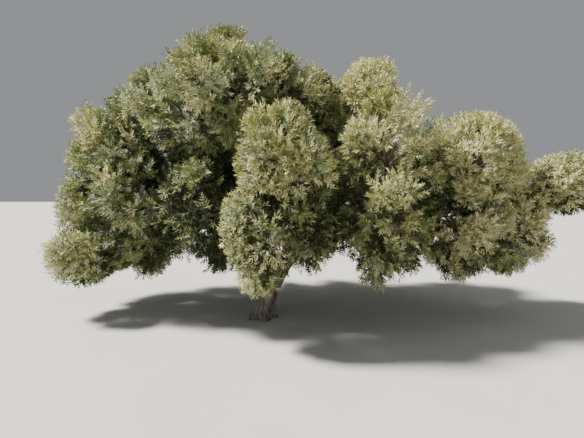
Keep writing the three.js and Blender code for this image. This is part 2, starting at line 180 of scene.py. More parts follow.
# The lobes of the crown. A tier is a ring of masses round the lobe's heart: how many, the turn of the
# first in degrees, how far out, how far up and how large, as shares of the lobe's reach. tint says how
# much more of a kind of spray a lobe has, partly for the lobe's own tone and partly as painted light and
# shade: more pale sprays where a lobe is painted lit, more deep ones where it is painted in shade. Where
# no other lobe stands behind it, inner says how much more of the shoots deep inside are kept, and dense
# how many times the branches grow. rough lets the twigs on some branches of a lobe fill less of it.
crown = {
    "top": {
        "from": "trunk", "at": 0.9, "rootRadius": 0.062,
        "heart": (-0.56, 0.85, 3.12), "reach": (1.78, 1.6, 1.4),
        "tiers": [(1, 180, 0.03, 0.36, 0.65), (4, -5, 0.43, 0.06, 0.69)],
        "tintAndPaintedLight": {"green": 2.6, "grey": 3.0, "olive": 0.9, "pale": 0.5, "deep": 0.7}, "inner": 2,
    },
    "right": {
        "from": "trunk", "at": 0.92, "rootRadius": 0.058,
        "heart": (3.37, 0.2, 1.86), "reach": (1.13, 1.1, 1.29),
        "tiers": [(1, 180, 0.1, 0.31, 0.69), (2, -150, 0.38, -0.34, 0.69)],
        # painted light on the lit right lobe, beside its own yellower tone: many pale sprays
        "tintAndPaintedLight": {"olive": 3.0, "pale": 12.0, "green": 0.3, "deep": 0.15}, "inner": 3, "dense": 1.3,
    },
    "front": {
        "from": "trunk", "at": 0.84, "rootRadius": 0.046,
        "heart": (0.37, -1.08, 1.86), "reach": (0.78, 0.8, 1.29),
        "tiers": [(1, 180, 0.03, 0.23, 0.8), (1, 205, 0.42, -0.3, 0.62), (1, 64, 1.05, -0.2, 0.66)],
        "tintAndPaintedLight": {"olive": 1.6, "pale": 1.0, "green": 1.4, "deep": 0.6},
        "inner": 3, "dense": 1.7, "rough": 0.06,
    },
    "left": {
        "from": "top", "at": 0.32, "rootRadius": 0.043,
        "heart": (-2.2, 0.85, 1.98), "reach": (1.16, 1.4, 1.6),
        "tiers": [(1, 180, 0.17, 0.29, 0.71), (3, 180, 0.34, -0.24, 0.68)],
        "tintAndPaintedLight": {"green": 2.6, "grey": 2.0, "olive": 0.5, "pale": 0.5, "deep": 1.1}, "inner": 2,
    },
    "low": {
        "from": "top", "at": 0.2, "rootRadius": 0.036,
        "heart": (-0.48, 0.85, 1.66), "reach": (1.3, 1.65, 1.26),
        "tiers": [(2, -115, 0.46, 0, 0.75)],
        # painted shade: the low lobe under the others is mostly deep sprays
        "tintAndPaintedLight": {"green": 3.0, "deep": 12.0, "grey": 0.6, "olive": 0.3, "pale": 0.1},
    },
    "middle": {
        "from": "right", "at": 0.18, "rootRadius": 0.042,
        "heart": (1.9, -0.25, 2.04), "reach": (0.94, 1, 1.4),
        "tiers": [(1, 180, 0.08, 0.2, 0.84), (2, -125, 0.42, -0.31, 0.74)],
        "tintAndPaintedLight": {"olive": 2.6, "pale": 1.2, "green": 1.4, "deep": 0.45},
    },
    "back": {
        "from": "right", "at": 0.1, "rootRadius": 0.044,
        "heart": (1.6, 1.6, 2.16), "reach": (1.6, 1.15, 1.5),
        "tiers": [(1, 180, 0.2, 0.46, 0.72), (2, 15, 0.4, -0.31, 0.7)],
        # painted light: the back lobe, in shade behind the others, gets paler sprays and few deep ones
        "tintAndPaintedLight": {"olive": 2.0, "grey": 1.8, "pale": 2.5, "deep": 0.35},
    },
    "knob": {
        "from": "middle", "at": 0.55, "rootRadius": 0.025,
        "heart": (1.65, 0.62, 3.42), "reach": (0.5, 0.78, 0.61),
        "tiers": [(1, 0, 0, 0, 1)],
        # painted light on the sunlit top knob: many pale sprays
        "tintAndPaintedLight": {"olive": 1.6, "pale": 9.0, "green": 0.2, "deep": 0.2},
        "inner": 3, "dense": 2.2, "rough": 0.25,
    },
    "end": {
        "from": "right", "at": 0.66, "rootRadius": 0.028,
        "heart": (4.78, 0.45, 2.03), "reach": (0.72, 0.64, 0.5),
        "tiers": [(1, 0, 0, 0, 1)],
        "tintAndPaintedLight": {"olive": 1.3, "pale": 1.8}, "inner": 3, "dense": 1.6, "rough": 0.2,
    },
    "skirt": {
        "from": "left", "at": 0.42, "rootRadius": 0.025,
        "heart": (-2.73, 0.06, 0.93), "reach": (0.57, 0.62, 0.46),
        "tiers": [(1, 0, 0, 0, 1)],
        "tintAndPaintedLight": {"grey": 1.5, "olive": 1.2}, "inner": 4, "dense": 2.6, "rough": 0.2,
    },
}


def trunkRadius(share, angle):
    share = max(share, 0)
    tapered = lerp(trunk["footRadius"], trunk["forkRadius"], share)
    flared = 1 + trunk["flare"] * math.exp(-share * trunk["height"] / trunk["flareHeight"])
    ribbed = 1 + trunk["ribDepth"] * flared * np.cos(trunk["ribs"] * angle + trunk["ribTwist"] * share)
    return tapered * flared * ribbed


def trunkAxis(share):
    leant = max(share, 0) ** trunk["leanPower"]
    return np.array([trunk["lean"][0] * leant, trunk["lean"][1] * leant, trunk["height"] * share])


def wallBetween(own, other):
    # which way, and how far off, a flat wall keeps one mass clear of another
    outward = other["centre"] - own["centre"]
    apart = np.linalg.norm(outward)
    outward = outward / apart
    ownReach = 1 / np.linalg.norm(outward / own["reach"])
    otherReach = 1 / np.linalg.norm(outward / other["reach"])
    nearest = mass["leastShare"] * apart
    between = np.clip((apart + ownReach - otherReach) / 2, nearest, apart - nearest)
    return outward, between - mass["edgeGap"]


def layOutMasses():
    masses = []
    for lobeName, lobe in crown.items():
        heart, reach = np.array(lobe["heart"]), np.array(lobe["reach"])
        number = 0
        for count, firstTurn, out, rise, size in lobe["tiers"]:
            for index in range(count):
                turn = math.radians(firstTurn + 360 * index / count)
                offset = np.array([out * math.cos(turn), out * math.sin(turn), rise])
                number += 1
                masses.append({"lobe": lobeName, "number": number,
                               "centre": heart + offset * reach, "reach": reach * size})
    for own in masses:
        walls = [wallBetween(own, other) for other in masses if other is not own]
        walls.append((-up, own["centre"][2] - mass["groundGap"]))
        own["wallWays"] = np.array([way for way, distance in walls])
        own["wallDistances"] = np.array([distance for way, distance in walls])
    return masses


def roomFrom(own, points, ways, share=1):
    # how far the space of a mass, or a share of it, goes on from points in it
    offsets = points - own["centre"]
    scaledOffsets, scaledWays = offsets / (own["reach"] * share), ways / (own["reach"] * share)
    a = (scaledWays ** 2).sum(-1)
    b = (scaledOffsets * scaledWays).sum(-1)
    c = (scaledOffsets ** 2).sum(-1) - 1
    room = (-b + np.sqrt(np.maximum(b * b - a * c, 0))) / a
    left = own["wallDistances"] - offsets @ own["wallWays"].T
    speed = ways @ own["wallWays"].T
    toWall = np.where(speed > 1e-9, left / np.maximum(speed, 1e-9), np.inf).min(-1)
    outside = (c >= 0) | (left <= 0).any(-1)
    return np.where(outside, 0, np.minimum(room, toWall))


def layOutBough(own, parent, at, rootRadius):
    root = parent.pointAt(at)
    inward = unit(unit(own["centre"] - root) + up * bough["rise"])
    ellipsoid = 1 / np.linalg.norm(inward / own["reach"])
    room = roomFrom(own, own["centre"][None], -inward[None])[0]
    tip = own["centre"] - inward * min(mass["tipShare"] * ellipsoid, mass["tipLimit"] * room)
    span = np.linalg.norm(tip - root)
    straight = (tip - root) / span
    along = parent.wayAt(at)
    leaving = unit(lerp(straight, along, bough["follow"] * max(0, along @ straight)))
    handles = (root, root + leaving * span * bough["reachOut"],
               tip - inward * span * bough["reachIn"], tip)

    def curve(share):
        back = 1 - share
        weights = (back ** 3, 3 * back * back * share, 3 * back * share * share, share ** 3)
        return sum(weight * handle for weight, handle in zip(weights, handles))

    def radiusAt(share):
        return lerp(rootRadius, bough["tipRadius"], share ** bough["taperPower"])

    limb = Limb(f"bough_{own['lobe']}_{own['number']}", curve, radiusAt)
    limb.inward = inward
    limb.parentRadius = parent.radiusAt(at)
    return limb


def layOutBoughs(masses):
    mainLimbs = {"trunk": Limb("trunk", trunkAxis, lambda share: trunkRadius(share, 0))}
    for lobeName, lobe in crown.items():
        first, *others = [own for own in masses if own["lobe"] == lobeName]
        main = layOutBough(first, mainLimbs[lobe["from"]], lobe["at"], lobe["rootRadius"])
        mainLimbs[lobeName] = first["limb"] = main
        way = main.points[-1] - main.points[0]
        others.sort(key=lambda own: own["centre"] @ way)
        for index, own in enumerate(others):
            step = index / (len(others) - 1) if len(others) > 1 else 0
            at = lerp(bough["firstFork"], bough["lastFork"], step)
            own["limb"] = layOutBough(own, main, at, main.radiusAt(at) * bough["sideShare"])
    return [mainLimbs["trunk"]] + [own["limb"] for own in masses]


# Growth inside the masses: branches from a stem, twigs from the branches, leafy shoots from the twigs

branches = {
    "spacing": 0.13,  # one for so much of the mean reach of the mass
    "moreSpacing": 0.034,  # and so the finer ones between them
    "spread": 0.35,
    "moreTurn": 0.08,  # turns by which chance moves the finer ones off their spiral
    "stemShare": 0.3,
    "reach": (0.6, 0.9),
    "fill": (0.85, 1.04),  # how much of the space of the mass the twigs on one branch fill
    "bow": 0.07,  # how far one bends up, as a share of its length
    "rootRadius": 0.011,
    "tipRadius": 0.004,
    "steps": 3,
    "sides": 4,
}

# Twigs on a branch, and shoots on a twig: one for each spacing, at least so many, from firstShare of
# its length on. They lean out from it, more at its root than at its tip, and turn up by rise.
twigs = {
    "spacing": 0.06,
    "least": 4,
    "firstShare": 0.3,
    "rootLean": 1.15,
    "tipLean": 0.45,
    "rise": 0.12,
    "length": (0.2, 0.36),
    "roomShare": (0.7, 0.95),
    "shortest": 0.06,
    "bow": 0.06,
    "rootRadius": 0.0042,
    "tipRadius": 0.002,
    "steps": 2,
    "sides": 3,
}

shoots = {
    "spacing": 0.036,
    "least": 3,
    "firstShare": 0.25,
    "rootLean": 1.2,
    "tipLean": 0.45,
    "rise": 0.12,
    "length": (0.13, 0.26),
    "roomShare": (0.75, 1.08),
    "shortest": 0.05,
    "bow": 0.0,
    "rootRadius": 0.0022,
    "tipRadius": 0.0006,
    "steps": 1,
    "sides": 3,
    "most": 24500,
}

leaf = {
    "pairSpacing": 0.021,
    "leastPairs": 3,
    "mostPairs": 11,
    "length": (0.055, 0.082),
    "tipShorter": 0.3,  # how much shorter the last leaves of a shoot are
    "shadeLength": 1.5,  # leaves in full shade are so much larger
    "widthShare": 0.27,
    "lean": 1.15,  # away from its shoot, beside 1 along it
    "tipLean": 0.5,
    "rise": 0.08,
    "faceUp": 1.0,  # how much the upper side turns up to the sky, beside 1 out of the crown
    "roll": 0.7,  # how far chance turns the blade, in radians
    "droop": 0.16,
    "outline": ((0, 0), (0.42, 0.5), (1, 0), (0.46, -0.5)),  # corners, along and across
    "proud": 0.02,  # how far leaves may stand out of the solids' box, as a share of its sides
}

# Shoots grow where the sky shows between the masses, and die off in the shade.
# The same light deals out the kinds of leaf, which paint light and shade into the leaves' colours.
light = {
    "ways": 28,  # directions in which each shoot looks out
    "fade": 0.3,  # metres of leaves that dim the light to a third
    "sunFade": 1.2,  # the same for the light by which the kinds of leaf paint light and shade
    "below": 0.6,  # what light from under the crown counts
    "sunSide": 20.0,  # how much more light from the sun's side counts for the kinds of leaf, so that sprays there are painted paler
    "least": 0.05,  # what a shoot in full shade counts, beside 1 in the open
    "lowShade": 0.4,  # painted shade: how sunny the kinds of leaf make the foot of a lobe, beside its top
    "sunRange": (0.16, 0.41),  # the shares of the best light that count as full shade and full sun, for the painted light and shade of the kinds
    "open": 0.7,  # from this share of the light on, leaves have the length of those in the sun
}

# Each kind of spray: the upper and under sides of its leaves, and how often it is dealt out in the sun
# and in the shade. The kinds are partly the leaves' own tones and partly painted light and shade: the
# pale kind is painted sunlight, and the near-black deep kind is painted shade.
leafKindsAndPaintedLight = {
    "pale": {"upper": (0.6, 0.59, 0.27), "under": (0.64, 0.635, 0.37), "sun": 1.5, "shade": 0.02},
    "olive": {"upper": (0.47, 0.48, 0.16), "under": (0.52, 0.53, 0.26), "sun": 1.5, "shade": 0.15},
    "grey": {"upper": (0.33, 0.38, 0.19), "under": (0.41, 0.46, 0.29), "sun": 1.0, "shade": 0.4},
    "green": {"upper": (0.2, 0.24, 0.075), "under": (0.27, 0.315, 0.135), "sun": 0.45, "shade": 1.4},
    "deep": {"upper": (0.036, 0.046, 0.017), "under": (0.055, 0.068, 0.03), "sun": 0.05, "shade": 3.2},
}

leanLuck = (0.7, 1.3)  # how much less or more than the rule says a twig or leaf leans out


def rodSet(starts, ends, bow, rootRadius, tipRadius):
    lengths = np.linalg.norm(ends - starts, axis=1)
    middles = (starts + ends) / 2 + up * (bow * lengths)[:, None]
    return {"start": starts, "middle": middles, "end": ends, "length": lengths,
            "rootRadius": rootRadius, "tipRadius": tipRadius}


def placeOn(rods, index, share):
    start, middle, end = rods["start"][index], rods["middle"][index], rods["end"][index]
    share = share[:, None]
    places = (1 - share) ** 2 * start + 2 * share * (1 - share) * middle + share ** 2 * end
    ways = unit((1 - share) * (middle - start) + share * (end - middle))
    return places, ways


def awayFrom(ways, turns):
    # directions square to ways, turned round them
    level = np.cross(ways, up)
    flat = np.linalg.norm(level, axis=1) < 1e-3
    level[flat] = (1, 0, 0)
    level = unit(level)
    other = np.cross(ways, level)
    return level * np.cos(turns)[:, None] + other * np.sin(turns)[:, None]


def nearWood(marks, starts, ends, clearance):
    # which straight pieces come too close to the trunk or a bough
    points, radii = marks
    along = ends - starts
    lengthSquared = np.maximum((along ** 2).sum(-1), 1e-12)
    share = np.einsum("nmk,nk->nm", points[None] - starts[:, None], along) / lengthSquared[:, None]
    nearest = starts[:, None] + np.clip(share, 0, 1)[..., None] * along[:, None]
    gaps = np.linalg.norm(nearest - points[None], axis=-1) - radii[None]
    return (gaps < clearance).any(axis=1)


def spiralWays(own, stemRoot, count, chance, looseness=1):
    # directions of a golden spiral round the stem, each turned by chance
    starts, ways = [], []
    for index in range(count):
        level = 1 - 2 * index / (count - 1)
        turn = goldenTurn * index + 2 * math.pi * looseness * chance()
        flat = math.sqrt(1 - level * level)
        jitter = np.array([chance(), chance(), chance()]) - 0.5
        way = np.array([flat * math.cos(turn), flat * math.sin(turn), level])
        ways.append(unit(way + branches["spread"] * jitter))
        starts.append(lerp(own["centre"], stemRoot, branches["stemShare"] * chance()))
        chance()  # the draw that turns a twig's leaves in the solids
    return np.array(starts), np.array(ways)


def growBranches(own, index, marks, luck):
    stemRoot = own["limb"].points[-1]
    size = own["reach"].mean()
    more = size / branches["moreSpacing"] * crown[own["lobe"]].get("dense", 1)
    chance = seededChance(mass["firstSeed"] + index)
    for draw in range(mass["coreVertices"]):
        chance()
    starts, ways = spiralWays(own, stemRoot, round(size / branches["spacing"]), chance)
    moreStarts, moreWays = spiralWays(own, stemRoot, round(more), chance, branches["moreTurn"])
    starts, ways = np.concatenate([starts, moreStarts]), np.concatenate([ways, moreWays])
    lengths = luck.uniform(*branches["reach"], len(ways)) * roomFrom(own, starts, ways)
    ends = starts + ways * lengths[:, None]
    kept = ~nearWood(marks, lerp(starts, ends, 0.5), ends, branches["rootRadius"])
    grown = rodSet(starts[kept], ends[kept], branches["bow"],
                   branches["rootRadius"], branches["tipRadius"])
    least, most = branches["fill"]
    least -= crown[own["lobe"]].get("rough", 0)
    grown["fill"] = luck.uniform(least, most, len(grown["end"]))[:, None]
    return grown


def growFrom(own, parents, rule, marks, luck):
    # the next order of twigs, spaced along their parents and turned round them by the golden turn
    counts = np.maximum(rule["least"], np.round(parents["length"] / rule["spacing"])).astype(int)
    parent = np.repeat(np.arange(len(counts)), counts)
    order = np.arange(len(parent)) - (np.cumsum(counts) - counts)[parent]
    share = lerp(rule["firstShare"], 1, (order + 1) / counts[parent])
    starts, along = placeOn(parents, parent, share)
    turns = goldenTurn * order + (2 * math.pi * luck.random(len(counts)))[parent]
    lean = lerp(rule["rootLean"], rule["tipLean"], share) * luck.uniform(*leanLuck, len(parent))
    ways = unit(along + awayFrom(along, turns) * lean[:, None] + up * rule["rise"])
    fill = parents["fill"][parent]
    room = roomFrom(own, starts, ways, fill) * luck.uniform(*rule["roomShare"], len(parent))
    lengths = np.minimum(luck.uniform(*rule["length"], len(parent)), room)
    ends = starts + ways * lengths[:, None]
    kept = (lengths > rule["shortest"]) & ~nearWood(marks, starts, ends, rule["rootRadius"])
    grown = rodSet(starts[kept], ends[kept], rule["bow"], rule["rootRadius"], rule["tipRadius"])
    grown["parent"] = parent[kept]
    grown["fill"] = fill[kept]
    return grown


def thin(rods, kept):
    return {name: value[kept] if isinstance(value, np.ndarray) else value
            for name, value in rods.items()}


def growLeaves(own):
    # pairs of leaves along each shoot, every pair a quarter turn on from the last, their upper sides
    # turned up and out of the crown
    leafy, luck = own["shoots"], own["luck"]
    pairs = np.round(leafy["length"] / leaf["pairSpacing"])
    pairs = np.clip(pairs, leaf["leastPairs"], leaf["mostPairs"])
    counts = 2 * pairs.astype(int)
    shoot = np.repeat(np.arange(len(counts)), counts)
    order = np.arange(len(shoot)) - (np.cumsum(counts) - counts)[shoot]
    share = (order // 2 + 1) / pairs[shoot]
    roots, along = placeOn(leafy, shoot, share)
    turns = (order // 2 + 2 * (order % 2)) * math.pi / 2
    turns = turns + (2 * math.pi * luck.random(len(counts)))[shoot]
    lean = lerp(leaf["lean"], leaf["tipLean"], share) * luck.uniform(*leanLuck, len(shoot))
    ways = unit(along + awayFrom(along, turns) * lean[:, None] + up * leaf["rise"])
    outward = unit((roots - own["centre"]) / own["reach"] ** 2)
    wanted = outward + up * leaf["faceUp"]
    facing = unit(wanted - ways * (wanted * ways).sum(axis=1, keepdims=True))
    roll = luck.normal(0, leaf["roll"], len(shoot))[:, None]
    across = np.cross(ways, facing) * np.cos(roll) + facing * np.sin(roll)
    lengths = luck.uniform(*leaf["length"], len(shoot)) * (1 - leaf["tipShorter"] * share ** 3)
    lit = np.clip(leafy["light"] / light["open"], 0, 1)[shoot]
    lengths *= lerp(leaf["shadeLength"], 1, lit ** 0.5)
    return {"root": roots, "way": ways, "across": across, "length": lengths,
            "kind": leafy["kind"][shoot]}


def insideBox(leaves):
    # leaves that would stand out of the tree's known size are left off
    margin = leaf["proud"] * (cadHigh - cadLow)
    tips = leaves["root"] + leaves["way"] * leaves["length"][:, None]
    low, high = cadLow - margin, cadHigh + margin
    low[2] = mass["groundGap"]
    kept = (tips > low).all(axis=1) & (tips < high).all(axis=1)
    return thin(leaves, kept)


def growMass(own, index, marks):
    luck = np.random.default_rng(mass["firstSeed"] + index)
    grown = growBranches(own, index, marks, luck)
    finer = growFrom(own, grown, twigs, marks, luck)
    leafy = growFrom(own, finer, shoots, marks, luck)
    leafy["draw"] = luck.random(len(finer["end"]))[leafy["parent"]]
    stem = rodSet(own["limb"].points[-1:] - own["limb"].inward * mass["stemSunk"],
                  own["centre"][None], 0, bough["tipRadius"], branches["rootRadius"])
    own["rods"] = [(stem, mass["stemSides"], mass["stemSteps"]),
                   (grown, branches["sides"], branches["steps"]),
                   (finer, twigs["sides"], twigs["steps"])]
    own["shoots"] = leafy
    own["luck"] = luck


def skyShare(masses, points):
    # how much of the light from all round comes through the masses to each point, and how much where
    # light from the sun's side counts for more and goes deeper; the second is the light by which the
    # kinds of leaf paint light and shade
    counts = np.arange(light["ways"]) + 0.5
    levels = 1 - 2 * counts / light["ways"]
    flats = np.sqrt(1 - levels ** 2)
    turns = goldenTurn * counts
    ways = np.stack([flats * np.cos(turns), flats * np.sin(turns), levels], axis=1)
    sunSide = 1 + light["sunSide"] * np.maximum(0, -ways @ unit(np.array(studio["sunWay"])))
    share, sunny = np.zeros(len(points)), np.zeros(len(points))
    for way, sunCounted in zip(ways, sunSide):
        path = np.zeros(len(points))
        for own in masses:
            scaledOffsets, scaledWay = (points - own["centre"]) / own["reach"], way / own["reach"]
            a = scaledWay @ scaledWay
            b = scaledOffsets @ scaledWay
            root = np.sqrt(np.maximum(b * b - a * ((scaledOffsets ** 2).sum(-1) - 1), 0))
            path += np.maximum((-b + root) / a, 0) - np.maximum((-b - root) / a, 0)
        counted = light["below"] if way[2] < 0 else 1
        share += counted * np.exp(-path / light["fade"])
        sunny += counted * sunCounted * np.exp(-path / light["sunFade"])
    return share / share.max(), sunny / sunny.max()


def keepSunlit(masses):
    # the number of shoots that the tree can carry, most of them where there is light
    luck = np.random.default_rng(mass["firstSeed"] - 1)
    share, sunny = skyShare(masses, np.concatenate([own["shoots"]["end"] for own in masses]))
    inner = np.concatenate([np.full(len(own["shoots"]["end"]), crown[own["lobe"]].get("inner", 1.0))
                            for own in masses])
    rank = luck.random(len(share)) ** (1 / (light["least"] * inner + share))
    kept = rank >= np.sort(rank)[-min(shoots["most"], len(rank))]
    at = 0
    for own in masses:
        leafy = own["shoots"]
        these = slice(at, at + len(leafy["end"]))
        at = these.stop
        leafy["light"], leafy["sun"] = share[these], sunny[these]
        own["shoots"] = thin(leafy, kept[these])
        own["rods"].append((own["shoots"], shoots["sides"], shoots["steps"]))


def dealKindsAsPaintedLight(own):
    # a kind of leaf for each shoot, mostly one on a twig, as painted light and shade: pale ones in the
    # sun, deep ones in the shade, more deep ones on the side away from the sun and at the foot of a lobe
    lobe = crown[own["lobe"]]
    height = (own["shoots"]["end"][:, 2] - lobe["heart"][2]) / lobe["reach"][2]
    sunny = own["shoots"]["sun"] * lerp(light["lowShade"], 1, np.clip((height + 1) / 2, 0, 1))
    sunny = np.interp(sunny, light["sunRange"], (0, 1))
    weights = np.stack([lobe["tintAndPaintedLight"].get(name, 1) * lerp(kind["shade"], kind["sun"], sunny)
                        for name, kind in leafKindsAndPaintedLight.items()], axis=1)
    steps = np.cumsum(weights, axis=1) / weights.sum(axis=1, keepdims=True)
    own["shoots"]["kind"] = (own["shoots"]["draw"][:, None] > steps).sum(axis=1)


# Meshes from arrays

def placed(name, data):
    thing = bpy.data.objects.new(name, data)
    bpy.context.collection.objects.link(thing)
    return thing


def meshPiece(name, vertices, triangles, material, smooth=True):
    mesh = bpy.data.meshes.new(name)
    mesh.vertices.add(len(vertices))
    mesh.vertices.foreach_set("co", vertices.astype(np.float32).ravel())
    mesh.loops.add(triangles.size)
    mesh.loops.foreach_set("vertex_index", triangles.astype(np.int32).ravel())
    mesh.polygons.add(len(triangles))
    mesh.polygons.foreach_set("loop_start", np.arange(0, triangles.size, 3, dtype=np.int32))
    mesh.polygons.foreach_set("use_smooth", np.full(len(triangles), smooth))
    mesh.update(calc_edges=True)
    mesh.materials.append(material)
    return placed(name, mesh)


def joined(parts):
    # several (vertices, triangles) as one
    vertices = np.concatenate([part[0] for part in parts])
    starts = np.cumsum([0] + [len(part[0]) for part in parts[:-1]])
    triangles = np.concatenate([part[1] + start for part, start in zip(parts, starts)])
    return vertices, triangles


def repeated(template, count, size):
    # the triangles of one small shape, for each of many copies of its vertices
    return (np.arange(count)[:, None, None] * size + np.array(template)).reshape(-1, 3)


def rodShapes(rods, sides, steps):
    # rods with a flat root, rings along them and a pointed tip
    count = len(rods["start"])
    along = unit(rods["end"] - rods["start"])
    rings = []
    for step in range(steps):
        places = placeOn(rods, slice(None), np.full(count, step / steps))[0]
        radius = lerp(rods["rootRadius"], rods["tipRadius"], step / steps)
        for side in range(sides):
            rings.append(places + radius * awayFrom(along, np.full(count, 2 * math.pi * side / sides)))
    vertices = np.stack(rings + [rods["end"]], axis=1)
    faces = []
    for side in range(sides):
        after = (side + 1) % sides
        for step in range(steps - 1):
            a, b = step * sides + side, step * sides + after
            faces += [(a, b, b + sides), (a, b + sides, a + sides)]
        faces.append(((steps - 1) * sides + side, (steps - 1) * sides + after, steps * sides))
    faces += [(0, side + 1, side) for side in range(1, sides - 1)]
    return vertices.reshape(-1, 3), repeated(faces, count, vertices.shape[1])


def leafShapes(leaves):
    # lance-shaped blades of two faces that droop towards the tip
    count = len(leaves["root"])
    facing = np.cross(leaves["across"], leaves["way"])
    length = leaves["length"][:, None]
    corners = [
        leaves["root"] + length * (at * leaves["way"] + wide * leaf["widthShare"] * leaves["across"]
                                   - leaf["droop"] * at * at * facing)
        for at, wide in leaf["outline"]
    ]
    last = len(corners) - 1
    faces = [(at, last, at + 1) for at in range(last - 1)]
    return np.stack(corners, axis=1).reshape(-1, 3), repeated(faces, count, len(corners))


def makeRods(side, masses, material):
    vertices, triangles = joined([rodShapes(*rods) for own in masses for rods in own["rods"]])
    return meshPiece(f"twigs_{side}", vertices, triangles, material)


# The wood: one skin over the trunk and the boughs, with the relief of old bark

bark = {
    "voxel": 0.0135,
    "ease": 2,  # rounds of smoothing in the crotches
    "trunkRings": 60,
    "trunkSides": 72,
    "roundFrom": 0.86,  # where the trunk's top begins to round over
    "roundShare": 0.9,  # how far it does, beside 1 for all the way to a point
    "ringSpacing": 0.03,
    "boughSides": 16,
    "grainSteps": 5,
    "pointsAtOnce": 4000,
    "limbShift": 7.3,  # metres between the grain of one limb and the next
    "twist": 0.9,  # radians that the grain turns in a metre
    "bulge": 0.016,
    "bulgeScale": 4.5,
    "crack": 0.009,
    "crackWidth": 0.13,
    "ridgeScale": 19.0,  # cracks for each metre round the limb
    "stretch": 0.2,  # the relief changes so much more slowly along the limb
    "fullRelief": 0.06,  # a limb so much thicker than a bough's tip has the whole relief
    "leastRelief": 0.06,
    "footEase": 0.02,
}


def framesAlong(ways):
    # two directions square to a limb at each of its points, turning as little as they can
    across = [awayFrom(ways[:1], np.zeros(1))[0]]
    for way in ways[1:]:
        across.append(unit(across[-1] - way * (across[-1] @ way)))
    across = np.array(across)
    return across, np.cross(ways, across)


def tube(places, across, other, radii):
    # a closed tube; radii has a row for each ring and a column for each side
    rings, sideCount = radii.shape
    turns = 2 * math.pi * np.arange(sideCount) / sideCount
    outward = across[:, None] * np.cos(turns)[:, None] + other[:, None] * np.sin(turns)[:, None]
    skin = places[:, None] + radii[..., None] * outward
    vertices = np.concatenate([skin.reshape(-1, 3), places[:1], places[-1:]])
    foot, tip = rings * sideCount, rings * sideCount + 1
    faces = []
    for side in range(sideCount):
        after = (side + 1) % sideCount
        for ring in range(rings - 1):
            a, b = ring * sideCount + side, ring * sideCount + after
            faces += [(a, b, b + sideCount), (a, b + sideCount, a + sideCount)]
        faces.append((side, foot, after))
        faces.append(((rings - 1) * sideCount + side, (rings - 1) * sideCount + after, tip))
    return vertices, np.array(faces)


def trunkTube():
    shares = np.linspace(-trunk["buried"] / trunk["height"], 1, bark["trunkRings"])
    places = np.array([trunkAxis(share) for share in shares])
    turns = 2 * math.pi * np.arange(bark["trunkSides"]) / bark["trunkSides"]
    over = np.clip((shares - bark["roundFrom"]) / (1 - bark["roundFrom"]), 0, bark["roundShare"])
    closing = np.sqrt(1 - over ** 2)
    radii = np.array([trunkRadius(share, turns) for share in shares]) * closing[:, None]
    level = np.tile([1.0, 0, 0], (len(shares), 1))
    return tube(places, level, np.cross(up, level), radii)


def boughTube(limb):
    steps = math.ceil(limb.length / bark["ringSpacing"])
    shares = np.linspace(0, 1, steps + 1)
    places = np.array([limb.pointAt(share) for share in shares])
    across, other = framesAlong(np.array([limb.wayAt(share) for share in shares]))
    collar = np.exp(-(shares * limb.length / (limb.parentRadius + bough["collarLength"])) ** 2)
    radii = np.array([limb.radiusAt(share) for share in shares]) * (1 + bough["collar"] * collar)
    return tube(places, across, other, np.tile(radii[:, None], (1, bark["boughSides"])))


def fused(rough):
    # one skin over all that overlaps, cut off flat at the ground
    remesh = rough.modifiers.new("Skin", "REMESH")
    remesh.mode = "VOXEL"
    remesh.voxel_size = bark["voxel"]
    settled = rough.evaluated_get(bpy.context.evaluated_depsgraph_get())
    skin = bmesh.new()
    skin.from_mesh(settled.to_mesh())
    settled.to_mesh_clear()
    bpy.data.objects.remove(rough)
    for turn in range(bark["ease"]):
        bmesh.ops.smooth_vert(skin, verts=skin.verts, factor=0.5, use_axis_x=True, use_axis_y=True,
                              use_axis_z=True)
    everything = skin.verts[:] + skin.edges[:] + skin.faces[:]
    cut = bmesh.ops.bisect_plane(skin, geom=everything, plane_co=(0, 0, 0), plane_no=(0, 0, 1),
                                 clear_inner=True)
    rim = [part for part in cut["geom_cut"] if isinstance(part, bmesh.types.BMEdge)]
    bmesh.ops.holes_fill(skin, edges=rim, sides=0)
    bmesh.ops.triangulate(skin, faces=[face for face in skin.faces if len(face.verts) > 4])
    return skin


def grainOf(points, limbs):
    # where each point lies on its nearest limb laid out straight, and that limb's radius there
    marks = []  # point, two sides and way of the limb, length up to there, radius
    for index, limb in enumerate(limbs):
        across, other = framesAlong(limb.ways)
        for step in range(0, len(limb.shares), bark["grainSteps"]):
            share = limb.shares[step]
            marks.append((*limb.points[step], *across[step], *other[step], *limb.ways[step],
                          share * limb.length + index * bark["limbShift"],
                          np.mean(limb.radiusAt(share))))
    marks = np.array(marks)
    nearest = []
    for chunk in np.array_split(points, math.ceil(len(points) / bark["pointsAtOnce"])):
        gaps = np.linalg.norm(chunk[:, None] - marks[None, :, :3], axis=2) - marks[None, :, 13]
        nearest.append(gaps.argmin(axis=1))
    own = marks[np.concatenate(nearest)]
    offsets = points - own[:, :3]
    x, y, z = [(offsets * own[:, at:at + 3]).sum(axis=1) for at in (3, 6, 9)]
    z = z + own[:, 12]
    turned = bark["twist"] * z
    cos, sin = np.cos(turned), np.sin(turned)
    return np.stack([x * cos - y * sin, x * sin + y * cos, z], axis=1), own[:, 13]


